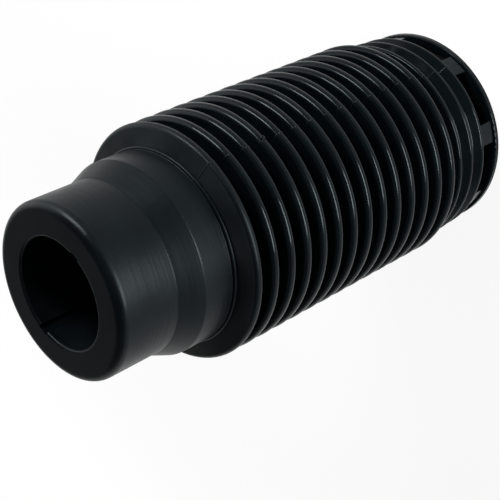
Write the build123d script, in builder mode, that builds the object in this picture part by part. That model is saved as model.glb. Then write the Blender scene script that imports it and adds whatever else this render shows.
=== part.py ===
"""Rubber bellows boot, moulded in one piece. Millimetres.

+Z runs up the axis towards the nose. The origin is the centre of the rim's underside, which the boot stands on.
XZ is the mould's parting plane: it passes through two of the window bars and both vent grooves.
"""

from build123d import *
import math
import os
from typing import NamedTuple

# Main folds
fold_count = 14
fold_pitch = 6.5
crest_diameter = 70.0
groove_diameter = 57.0
fold_wall = 1.2
crest_inner_bend = 0.3  # radius inside the rubber at a crest
groove_bend = 1.2  # radius at the bottom of a groove, outside

# Collar below the folds, with shallow ribs
collar_step = 2.1  # the collar's bore is this much wider, on the radius, than the inside of the grooves
rib_count = 3
rib_pitch = 6.05
rib_wall = 1.2  # in the grooves between the ribs
rib_height = 2.6  # of the highest rib above those grooves
rib_step = 0.3  # each rib below is this much lower
rib_bend = 0.9
rib_groove_bend = 0.8
rib_to_groove = 3.1  # from the highest rib to the lowest main groove
shoulder_angle = 45.0  # degrees from the axis, under the lowest rib and the lowest fold

# Vent windows and the rim under them
window_count = 8
window_height = 5.6
window_corner = 0.6
bar_width = 6.7
band_wall = 1.9
band_to_rib = 1.8  # from the windows' top to the lowest rib
rim_ledge = 0.7  # the rim stands out this much from the band
rim_thickness = 1.7
rim_edge = 0.5

# Neck and nose, with the neck's height counted from the highest crest
flange_lean = 11.0  # degrees from square to the axis
neck_diameter = 57.0
neck_height = 13.6
neck_wall = 3.0
lip_bend = 0.6
lip_groove_bend = 0.3
cone_height = 7.3
nose_diameter = 51.0
nose_height = 19.1
nose_bore_diameter = 32.0
nose_bore_length = 19.5
throat_angle = 45.0  # degrees from the axis
nose_corner = 2.5
mouth_corner = 0.8
soft_corner = 1.0
vent_groove_width = 3.0
vent_groove_depth = 0.9

# Heights above the rim's underside
windows_top = rim_thickness + window_height
lowest_rib = windows_top + band_to_rib
highest_rib = lowest_rib + (rib_count - 1) * rib_pitch
lowest_groove = highest_rib + rib_to_groove
highest_crest = lowest_groove + (fold_count - 0.5) * fold_pitch
neck_top = highest_crest + neck_height
cone_top = neck_top + cone_height
boot_top = cone_top + nose_height

# Radii
crest_bend = crest_inner_bend + fold_wall
collar_bore = groove_diameter / 2 - fold_wall + collar_step
rib_groove = collar_bore + rib_wall
band_radius = collar_bore + band_wall
rim_radius = band_radius + rim_ledge
neck_radius = neck_diameter / 2
neck_bore = neck_radius - neck_wall
nose_radius = nose_diameter / 2
nose_bore = nose_bore_diameter / 2


class Bend(NamedTuple):
    """One round of the section: its centre, its radius, and 1 for a crest or -1 for a groove."""

    centre_radius: float
    height: float
    bend: float
    side: int

    def point(self, angle):
        """The point where the skin's normal is at this angle above the radial direction."""
        reach = self.side * self.bend
        return (self.centre_radius + reach * math.cos(angle), self.height + reach * math.sin(angle))


def crest(top_radius, height, bend):
    return Bend(top_radius - bend, height, bend, 1)


def groove(bottom_radius, height, bend):
    return Bend(bottom_radius + bend, height, bend, -1)


def wall_angle(lower, upper):
    """Angle of the normal of the straight wall that joins a crest and a groove."""
    outer, inner = (lower, upper) if lower.side > 0 else (upper, lower)
    across = outer.centre_radius - inner.centre_radius
    along = upper.height - lower.height
    lean = math.atan2(along, across) - math.asin((outer.bend + inner.bend) / math.hypot(along, across))
    return lower.side * (math.pi / 2 - lean)


def draw_bends(bends, first_angle, last_angle):
    """Draws a run of bends and the walls between them, upwards, and returns its two ends."""
    angles = [first_angle]
    angles += [wall_angle(lower, upper) for lower, upper in zip(bends, bends[1:])]
    angles += [last_angle]
    for bend, start, end in zip(bends, angles, angles[1:]):
        ThreePointArc(bend.point(start), bend.point((start + end) / 2), bend.point(end))
    for lower, upper, angle in zip(bends, bends[1:], angles[1:]):
        Line(lower.point(angle), upper.point(angle))
    return bends[0].point(first_angle), bends[-1].point(last_angle)


def collar_ribs():
    """The ribs and the shallow grooves between them, from the lowest up."""
    ribs = []
    for i in range(rib_count):
        height = lowest_rib + i * rib_pitch
        top_radius = rib_groove + rib_height - (rib_count - 1 - i) * rib_step
        ribs.append(crest(top_radius, height, rib_bend))
        ribs.append(groove(rib_groove, height + rib_pitch / 2, rib_groove_bend))
    return ribs[:-1]


def main_folds(inset):
    """The main folds' grooves and crests from the lowest groove up, inset below the outer skin."""
    folds = []
    for i in range(fold_count):
        height = lowest_groove + i * fold_pitch
        folds.append(groove(groove_diameter / 2 - inset, height, groove_bend + inset))
        folds.append(crest(crest_diameter / 2 - inset, height + fold_pitch / 2, crest_bend - inset))
    return folds


with BuildPart() as bellows_boot:
    shoulder = math.radians(shoulder_angle)
    flange_angle = math.radians(90 - flange_lean)
    flange_slope = math.tan(math.radians(flange_lean))

    with BuildSketch(Plane.XZ):
        with BuildLine():
            # Outside, from the lowest rib up to the flange, and inside, from the lowest fold up to it
            rib_foot, flange_edge = draw_bends(collar_ribs() + main_folds(0), -shoulder, flange_angle)
            fold_foot, flange_inside = draw_bends(main_folds(fold_wall), shoulder, flange_angle)

            # The flange's face, and the lip and its fine groove round the foot of the neck
            lip_foot = flange_edge[1] + (flange_edge[0] - neck_radius) * flange_slope
            lip_top = lip_foot + 2 * lip_bend
            lip_groove_top = lip_top + 2 * lip_groove_bend
            Line(flange_edge, (neck_radius, lip_foot))
            ThreePointArc(
                (neck_radius, lip_foot),
                (neck_radius + lip_bend, lip_foot + lip_bend),
                (neck_radius, lip_top),
            )
            ThreePointArc(
                (neck_radius, lip_top),
                (neck_radius - lip_groove_bend, lip_top + lip_groove_bend),
                (neck_radius, lip_groove_top),
            )

            # Neck, cone, nose, bore and throat, down to the inside of the flange
            throat_top = boot_top - nose_bore_length
            throat_foot = throat_top - (neck_bore - nose_bore) / math.tan(math.radians(throat_angle))
            neck_foot = flange_inside[1] + (flange_inside[0] - neck_bore) * flange_slope
            FilletPolyline(
                (neck_radius, lip_groove_top),
                (neck_radius, neck_top),
                (nose_radius, cone_top),
                (nose_radius, boot_top),
                (nose_bore, boot_top),
                (nose_bore, throat_top),
                (neck_bore, throat_foot),
                (neck_bore, neck_foot),
                flange_inside,
                radius=[
                    soft_corner,
                    soft_corner,
                    nose_corner,
                    mouth_corner,
                    soft_corner,
                    soft_corner,
                    soft_corner,
                ],
            )

            # Window band, rim and the collar's bore
            band_top = rib_foot[1] - (rib_foot[0] - band_radius) / math.tan(shoulder)
            bore_top = fold_foot[1] - (collar_bore - fold_foot[0]) / math.tan(shoulder)
            Polyline(
                rib_foot,
                (band_radius, band_top),
                (band_radius, rim_thickness),
                (rim_radius, rim_thickness),
                (rim_radius, 0),
                (collar_bore, 0),
                (collar_bore, bore_top),
                fold_foot,
            )
        make_face()
    revolve(axis=Axis.Z)

    # Round the rim's outer edges
    rings = bellows_boot.edges().filter_by(GeomType.CIRCLE)
    fillet(rings.filter_by(lambda ring: math.isclose(ring.radius, rim_radius)), rim_edge)

    # Vent windows, with a bar on the parting plane at each side
    window_angle = math.pi / window_count - math.asin(bar_width / 2 / band_radius)
    window_width = 2 * band_radius * math.sin(window_angle)
    window_middle = rim_thickness + window_height / 2
    window_planes = []
    for i in range(window_count):
        turn = (i + 0.5) * 2 * math.pi / window_count
        outward = (math.cos(turn), math.sin(turn), 0)
        sideways = (-math.sin(turn), math.cos(turn), 0)
        window_planes.append(Plane((0, 0, window_middle), x_dir=sideways, z_dir=outward))
    with BuildSketch(*window_planes):
        RectangleRounded(window_width, window_height, window_corner)
    extrude(amount=rim_radius, mode=Mode.SUBTRACT)

    # Vent grooves down both sides of the nose bore, running out into the throat
    with BuildSketch(Plane.XY.offset(boot_top)):
        Rectangle(2 * (nose_bore + vent_groove_depth), vent_groove_width)
    extrude(amount=throat_foot - boot_top, mode=Mode.SUBTRACT)

bellows_boot.part.label = "bellows_boot"

os.makedirs("parts", exist_ok=True)
export_step(bellows_boot.part, "parts/bellows_boot.step")
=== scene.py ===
"""Rubber bellows boot: the finish of the rubber, its mould marks, the light and the camera.

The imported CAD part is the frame, and its one node stays as it is: the boot is moulded in one piece.
This script gives it a procedural rubber and adds what the mould leaves on it.
Everything is in metres. The boot stands on its rim, its axis is Z and the rim's underside is z = 0.
The photograph shows it lying down, so the camera is rolled instead of the boot.
"""

import math

import bmesh
import bpy
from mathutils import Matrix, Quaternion, Vector


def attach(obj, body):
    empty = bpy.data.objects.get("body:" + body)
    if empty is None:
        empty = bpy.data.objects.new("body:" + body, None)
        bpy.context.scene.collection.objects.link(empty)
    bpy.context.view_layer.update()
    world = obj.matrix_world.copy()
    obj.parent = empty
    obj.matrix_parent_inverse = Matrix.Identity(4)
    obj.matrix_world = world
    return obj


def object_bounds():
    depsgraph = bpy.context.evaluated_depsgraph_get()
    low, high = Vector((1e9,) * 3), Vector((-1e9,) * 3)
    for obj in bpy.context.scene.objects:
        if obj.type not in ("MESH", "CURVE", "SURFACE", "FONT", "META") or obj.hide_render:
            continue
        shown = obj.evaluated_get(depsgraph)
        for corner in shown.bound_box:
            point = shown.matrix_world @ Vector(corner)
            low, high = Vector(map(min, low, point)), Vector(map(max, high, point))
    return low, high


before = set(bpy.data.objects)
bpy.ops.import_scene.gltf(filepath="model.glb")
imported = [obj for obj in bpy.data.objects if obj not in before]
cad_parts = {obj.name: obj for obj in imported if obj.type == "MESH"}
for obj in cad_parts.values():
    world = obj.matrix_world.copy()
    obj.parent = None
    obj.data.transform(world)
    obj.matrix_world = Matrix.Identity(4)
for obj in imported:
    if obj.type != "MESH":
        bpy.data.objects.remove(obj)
cad_low, cad_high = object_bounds()
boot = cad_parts["bellows_boot"]

MM = 0.001
WHITE = (1.0, 1.0, 1.0, 1.0)
# places on the CAD part
RIM_RADIUS = 32.0 * MM
FLANGE_EDGE = 113.4 * MM
NECK_FOOT = 114.5 * MM


def direction(azimuth, elevation):
    """The unit vector towards an azimuth (degrees from +X towards +Y) and an elevation."""
    a = math.radians(azimuth)
    e = math.radians(elevation)
    return Vector((math.cos(a) * math.cos(e), math.sin(a) * math.cos(e), math.sin(e)))


# ---------------------------------------------------------------- camera

CAMERA_AZIMUTH = -22.55
CAMERA_ELEVATION = 38.81
CAMERA_DISTANCE = 0.3790
CAMERA_ROLL = 116.26
CAMERA_AIM = Vector((-4.5, -10.84, 87.78)) * MM
CLIP_START = 0.01
# in millimetres, as Blender takes them
CAMERA_LENS = 93.6
SENSOR_WIDTH = 36


def make_camera():
    """The photograph's view: down on the nose, rolled until the boot lies as it does there."""
    data = bpy.data.cameras.new("photo_camera")
    data.sensor_width = SENSOR_WIDTH
    data.lens = CAMERA_LENS
    data.clip_start = CLIP_START
    camera = bpy.data.objects.new("photo_camera", data)
    bpy.context.scene.collection.objects.link(camera)
    back = direction(CAMERA_AZIMUTH, CAMERA_ELEVATION)
    upright = (-back).to_track_quat("-Z", "Y")
    roll = Quaternion((0, 0, 1), -math.radians(CAMERA_ROLL))
    camera.location = CAMERA_AIM + back * CAMERA_DISTANCE
    camera.rotation_mode = "QUATERNION"
    camera.rotation_quaternion = upright @ roll
    bpy.context.scene.camera = camera


# ---------------------------------------------------------------- node helpers


def new_tree(material):
    """Turns a material's nodes on and empties them."""
    material.use_nodes = True
    material.node_tree.nodes.clear()
    return material.node_tree


def add(tree, kind, links=(), **values):
    """Adds a node. links are (input, socket) pairs, and values set inputs or properties by name."""
    node = tree.nodes.new(kind)
    for name, value in values.items():
        label = name.replace("_", " ")
        if label in node.inputs:
            node.inputs[label].default_value = value
        else:
            setattr(node, name, value)
    for name, socket in links:
        tree.links.new(socket, node.inputs[name])
    return node


def combine(tree, operation, first, second):
    """A socket from a maths node that takes two sockets."""
    links = ((0, first), (1, second))
    return add(tree, "ShaderNodeMath", links, operation=operation).outputs[0]


def compare(tree, socket, operation, value):
    """A socket that is 1 where another compares with a number as the operation says, or else 0."""
    node = add(tree, "ShaderNodeMath", ((0, socket),), operation=operation)
    node.inputs[1].default_value = value
    return node.outputs[0]


def remap(tree, socket, before, after, curve="SMOOTHSTEP"):
    """A socket whose values are moved from one (low, high) range to another."""
    node = add(tree, "ShaderNodeMapRange", ((0, socket),), interpolation_type=curve)
    node.inputs["From Min"].default_value = before[0]
    node.inputs["From Max"].default_value = before[1]
    node.inputs["To Min"].default_value = after[0]
    node.inputs["To Max"].default_value = after[1]
    return node.outputs[0]


def blend(tree, share, first, second):
    """A shader socket that is the first shader at share 0 and the second at share 1."""
    links = ((0, share), (1, first), (2, second))
    return add(tree, "ShaderNodeMixShader", links).outputs[0]


def shows_background(tree):
    """A socket that is 1 for what the camera, a reflection or a transmission sees."""
    path = add(tree, "ShaderNodeLightPath")
    seen = path.outputs["Is Camera Ray"]
    for name in ("Is Glossy Ray", "Is Transmission Ray"):
        seen = combine(tree, "MAXIMUM", seen, path.outputs[name])
    return seen


# ---------------------------------------------------------------- floor, world and lamps

FLOOR_SIDE = 60.0
FLOOR_COLOUR = (0.8, 0.8, 0.8, 1.0)
# painted shade: the floor under the boot is near black, standing for the shade inside the boot
FLOOR_PAINTED_SHADE_UNDER_BOOT = (0.01, 0.01, 0.01, 1.0)
# the seen floor: a part that the lamps light, so that a shadow shows, and a glow that brings it to white
FLOOR_SHADOW = (0.15, 0.15, 0.15, 1.0)
FLOOR_GLOW = 0.88
# distances from the axis over which the shadow gives way to plain white
SHADOW_FADES = (0.16, 0.34)
ROOM = 0.18
# angles above the horizon over which the white wall gives way to the room
WALL_FADES = (math.radians(8.0), math.radians(16.0))
# the lamps face this share of the boot's height
LAMP_AIM = 0.55


def seen_floor(tree, reach):
    """A shader socket: the floor as it is seen, white with a soft shadow near the boot."""
    shade = add(tree, "ShaderNodeBsdfDiffuse", Color=FLOOR_SHADOW)
    glow = add(tree, "ShaderNodeEmission", Color=WHITE, Strength=FLOOR_GLOW)
    near = add(tree, "ShaderNodeAddShader", ((0, shade.outputs[0]), (1, glow.outputs[0])))
    plain = add(tree, "ShaderNodeEmission", Color=WHITE, Strength=1.0)
    fade = remap(tree, reach, SHADOW_FADES, (0.0, 1.0))
    return blend(tree, fade, near.outputs[0], plain.outputs[0])


def make_floor():
    """A plain white floor at the rim's underside, which keeps the boot's soft shadow.

    The camera, reflections and transmission see it glow white, and the shadow fades out well away
    from the boot. Under the boot the floor is painted near black, a painted shade, so the windows and
    the bore show a dark inside, as they do where the boot lies on its side.
    """
    bpy.ops.mesh.primitive_plane_add(size=FLOOR_SIDE)
    floor = bpy.context.object
    floor.name = "floor"
    material = bpy.data.materials.new("floor_white")
    tree = new_tree(material)
    place = add(tree, "ShaderNodeTexCoord").outputs["Object"]
    reach = add(tree, "ShaderNodeVectorMath", ((0, place),), operation="LENGTH").outputs["Value"]
    outside = compare(tree, reach, "GREATER_THAN", RIM_RADIUS)
    lit = add(tree, "ShaderNodeBsdfDiffuse", Color=FLOOR_COLOUR)
    # painted shade: inside the rim the floor is near black and has no glow
    dark = add(tree, "ShaderNodeBsdfDiffuse", Color=FLOOR_PAINTED_SHADE_UNDER_BOOT)
    around = blend(tree, shows_background(tree), lit.outputs[0], seen_floor(tree, reach))
    whole = blend(tree, outside, dark.outputs[0], around)
    add(tree, "ShaderNodeOutputMaterial", (("Surface", whole),))
    floor.data.materials.append(material)


def make_world():
    """The plain dim room. Just above the floor's far edge the camera and reflections see it white."""
    world = bpy.data.worlds.new("studio")
    bpy.context.scene.world = world
    tree = new_tree(world)
    towards = add(tree, "ShaderNodeTexCoord").outputs["Generated"]
    rise = add(tree, "ShaderNodeSeparateXYZ", ((0, towards),)).outputs["Z"]
    rises = [math.sin(angle) for angle in WALL_FADES]
    height = remap(tree, rise, rises, (1.0, 0.0))
    wall = combine(tree, "MULTIPLY", height, shows_background(tree))
    room = add(tree, "ShaderNodeBackground", Color=WHITE, Strength=ROOM)
    white = add(tree, "ShaderNodeBackground", Color=WHITE, Strength=1.0)
    whole = blend(tree, wall, room.outputs[0], white.outputs[0])
    add(tree, "ShaderNodeOutputWorld", (("Surface", whole),))


def softbox(name, azimuth, distance, height, width, depth, radiance):
    """A rectangular lamp at an azimuth and a height that faces the middle of the boot."""
    data = bpy.data.lights.new(name, "AREA")
    data.shape = "RECTANGLE"
    data.size = width
    data.size_y = depth
    data.energy = radiance * width * depth * math.pi
    lamp = bpy.data.objects.new(name, data)
    bpy.context.scene.collection.objects.link(lamp)
    lamp.location = direction(azimuth, 0) * distance + Vector((0, 0, height))
    towards = Vector((0, 0, cad_high.z * LAMP_AIM)) - lamp.location
    lamp.rotation_mode = "QUATERNION"
    lamp.rotation_quaternion = towards.to_track_quat("-Z", "Y")


def make_lamps():
    """A low key lamp, a like one high on the other side, and a large dim one further round."""
    softbox("key_lamp", azimuth=-48, distance=0.30, height=0.050, width=0.18, depth=0.07, radiance=26)
    softbox("side_lamp", azimuth=46, distance=0.30, height=0.270, width=0.17, depth=0.075, radiance=25)
    softbox("top_lamp", azimuth=88, distance=0.34, height=0.25, width=0.38, depth=0.22, radiance=1.8)


# ---------------------------------------------------------------- rubber

# the last groove before the flange, where the polish ends, and half the width of the change
DULL_FROM = 108.8 * MM
DULL_EDGE = 1.0 * MM
FOLD_ROUGHNESS = 0.17
NOSE_ROUGHNESS = 0.38
RUBBER_DARK = (0.0012, 0.0022, 0.0029, 1.0)
RUBBER_LIGHT = (0.0024, 0.0040, 0.0050, 1.0)
RUBBER_SPECULAR = 0.12
RUBBER_TINT = (0.80, 0.95, 1.0, 1.0)
# painted light: a pale colour on the flange that stands for the lamp-lit grey it shows
FLANGE_PAINTED_LIGHT = (0.019, 0.022, 0.024, 1.0)
# the noise runs mostly between these two values
NOISE_RANGE = (0.3, 0.7)
MOTTLE_SCALE = 90.0
MOTTLE_DETAIL = 4.0
MOTTLE_GLOSS = (-0.06, 0.06)
# noise that is stretched round the axis, so that it runs in rings
RING_STRETCH = (0.03, 0.03, 1.0)
RING_SCALE = 900.0
RING_BUMP = 0.6
GRAIN_SCALE = 2000.0
GRAIN_BUMP = 0.05
FINE_DETAIL = 3.0
BUMP_DISTANCE = 0.1 * MM


def noise(tree, place, scale, detail):
    """A socket from a noise texture at a place."""
    texture = add(tree, "ShaderNodeTexNoise", (("Vector", place),), Scale=scale, Detail=detail)
    return texture.outputs[0]


def bump(tree, links, strength):
    """A normal socket from a bump node. links are its height and, if any, the normal to start from."""
    node = add(tree, "ShaderNodeBump", links, Strength=strength, Distance=BUMP_DISTANCE)
    return node.outputs[0]


def flange_painted_light(tree, height, mottle, shade):
    """A colour socket: the rubber's shade, with painted light, a pale mottled film, on the flange under
    the neck.
    """
    above = compare(tree, height, "GREATER_THAN", FLANGE_EDGE)
    below = compare(tree, height, "LESS_THAN", NECK_FOOT)
    flange = combine(tree, "MULTIPLY", above, below)
    # painted light: where the flange mask and the mottle are high, the flange is made paler
    painted_light_share = combine(tree, "MULTIPLY", flange, mottle)
    mixed = add(tree, "ShaderNodeMixRGB", ((0, painted_light_share), (1, shade)))
    mixed.inputs[2].default_value = FLANGE_PAINTED_LIGHT
    return mixed.outputs[0]


def turning_marks(tree, place, height):
    """A height socket: faint rings that the turned mould leaves on the neck and the nose."""
    squeeze = add(tree, "ShaderNodeVectorMath", ((0, place),), operation="MULTIPLY")
    squeeze.inputs[1].default_value = RING_STRETCH
    rings = noise(tree, squeeze.outputs[0], RING_SCALE, FINE_DETAIL)
    nose = compare(tree, height, "GREATER_THAN", NECK_FOOT)
    return combine(tree, "MULTIPLY", rings, nose)


def rubber_roughness(tree, height, mottle):
    """A roughness socket: polished folds and collar, a duller nose end, and a mottle over both."""
    edge = (DULL_FROM - DULL_EDGE, DULL_FROM + DULL_EDGE)
    dull = remap(tree, height, edge, (FOLD_ROUGHNESS, NOSE_ROUGHNESS))
    patches = remap(tree, mottle, NOISE_RANGE, MOTTLE_GLOSS, curve="LINEAR")
    return combine(tree, "ADD", dull, patches)


def rubber_shade(tree, mottle):
    """A colour socket: black rubber that is a little lighter in some patches."""
    shade = add(tree, "ShaderNodeValToRGB", (("Fac", mottle),))
    stops = zip(shade.color_ramp.elements, NOISE_RANGE, (RUBBER_DARK, RUBBER_LIGHT))
    for stop, position, colour in stops:
        stop.position = position
        stop.color = colour
    return shade.outputs[0]


def make_rubber():
    """Black moulded rubber: polished folds and collar, a duller nose and neck, fine grain."""
    material = bpy.data.materials.new("boot_rubber")
    tree = new_tree(material)
    place = add(tree, "ShaderNodeTexCoord").outputs["Object"]
    height = add(tree, "ShaderNodeSeparateXYZ", ((0, place),)).outputs["Z"]
    mottle = noise(tree, place, MOTTLE_SCALE, MOTTLE_DETAIL)
    grain = noise(tree, place, GRAIN_SCALE, FINE_DETAIL)
    fine = bump(tree, (("Height", grain),), GRAIN_BUMP)
    marks = turning_marks(tree, place, height)
    links = (
        ("Base Color", flange_painted_light(tree, height, mottle, rubber_shade(tree, mottle))),
        ("Roughness", rubber_roughness(tree, height, mottle)),
        ("Normal", bump(tree, (("Height", marks), ("Normal", fine)), RING_BUMP)),
    )
    surface = add(tree, "ShaderNodeBsdfPrincipled", links)
    surface.inputs["Specular IOR Level"].default_value = RUBBER_SPECULAR
    surface.inputs["Specular Tint"].default_value = RUBBER_TINT
    add(tree, "ShaderNodeOutputMaterial", (("Surface", surface.outputs[0]),))
    return material


# ---------------------------------------------------------------- marks that the mould leaves

RAY_START = 60.0 * MM
PARTING_START = 0.8 * MM
PARTING_END = NECK_FOOT
PARTING_STEP = 0.1 * MM
PARTING_WIDTH = 0.6 * MM
PARTING_HEIGHT = 0.14 * MM
PARTING_SINK = 0.15 * MM
# across the ridge: shares of its width and height, from one edge over its top to the other.
# An edge has no height: it is sunk in the boot
RIDGE_SECTION = ((-0.5, None), (-0.25, 0.7), (0.0, 1.0), (0.25, 0.7), (0.5, None))
NUB_RADIUS = 0.8 * MM
# share of the radius that a nub stands out from the boot
NUB_HEIGHT = 0.8
NUB_SUBDIVISIONS = 3
# azimuth in degrees and height of each small nub
NUBS = ((0.8, 92.5 * MM), (-40.0, 94.6 * MM), (-92.0, 89.0 * MM))


def outer_point(azimuth, height):
    """Where a level ray from outside first meets the boot, with the surface's normal there."""
    outwards = direction(azimuth, 0)
    start = outwards * RAY_START + Vector((0, 0, height))
    _, place, normal, _ = boot.ray_cast(start, -outwards)
    return place, normal


def keep_mesh(name, mesh, material):
    """Turns a bmesh into a smooth piece of a material that rides on the boot."""
    mesh.normal_update()
    data = bpy.data.meshes.new(name)
    mesh.to_mesh(data)
    mesh.free()
    data.polygons.foreach_set("use_smooth", [True] * len(data.polygons))
    data.materials.append(material)
    piece = bpy.data.objects.new(name, data)
    bpy.context.scene.collection.objects.link(piece)
    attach(piece, "root")


def add_ridge_ring(mesh, azimuth, height):
    """Adds the ridge's section at a height, square to the boot's skin there."""
    place, normal = outer_point(azimuth, height)
    across = Vector((0, 0, 1)).cross(direction(azimuth, 0))
    outwards = (normal - across * normal.dot(across)).normalized()
    ring = []
    for side, rise in RIDGE_SECTION:
        depth = -PARTING_SINK if rise is None else PARTING_HEIGHT * rise
        ring.append(mesh.verts.new(place + across * side * PARTING_WIDTH + outwards * depth))
    return ring


def make_parting_ridge(name, azimuth, material):
    """The fine ridge that the joint between the two mould halves leaves, up to the neck's foot."""
    mesh = bmesh.new()
    rings = []
    for step in range(int((PARTING_END - PARTING_START) / PARTING_STEP)):
        rings.append(add_ridge_ring(mesh, azimuth, PARTING_START + step * PARTING_STEP))
    for low, high in zip(rings, rings[1:]):
        for i in range(len(low)):
            j = (i + 1) % len(low)
            mesh.faces.new((low[i], low[j], high[j], high[i]))
    mesh.faces.new(reversed(rings[0]))
    mesh.faces.new(rings[-1])
    bmesh.ops.recalc_face_normals(mesh, faces=mesh.faces)
    keep_mesh(name, mesh, material)


def make_nub(name, azimuth, height, material):
    """A small low nub of rubber from a pore in the mould."""
    mesh = bmesh.new()
    bmesh.ops.create_icosphere(mesh, subdivisions=NUB_SUBDIVISIONS, radius=NUB_RADIUS)
    place, normal = outer_point(azimuth, height)
    turn = normal.to_track_quat("Z", "Y")
    for vert in mesh.verts:
        vert.co.z *= NUB_HEIGHT
        vert.co = place + turn @ vert.co
    keep_mesh(name, mesh, material)


rubber = make_rubber()
for slot in boot.material_slots:
    slot.material = rubber

make_parting_ridge("parting_ridge_front", 0, rubber)
make_parting_ridge("parting_ridge_back", 180, rubber)
for number, (nub_azimuth, nub_height) in enumerate(NUBS, start=1):
    make_nub(f"mould_nub_{number}", nub_azimuth, nub_height, rubber)

make_camera()
make_world()
make_floor()
make_lamps()

bpy.context.scene.view_settings.view_transform = "Standard"
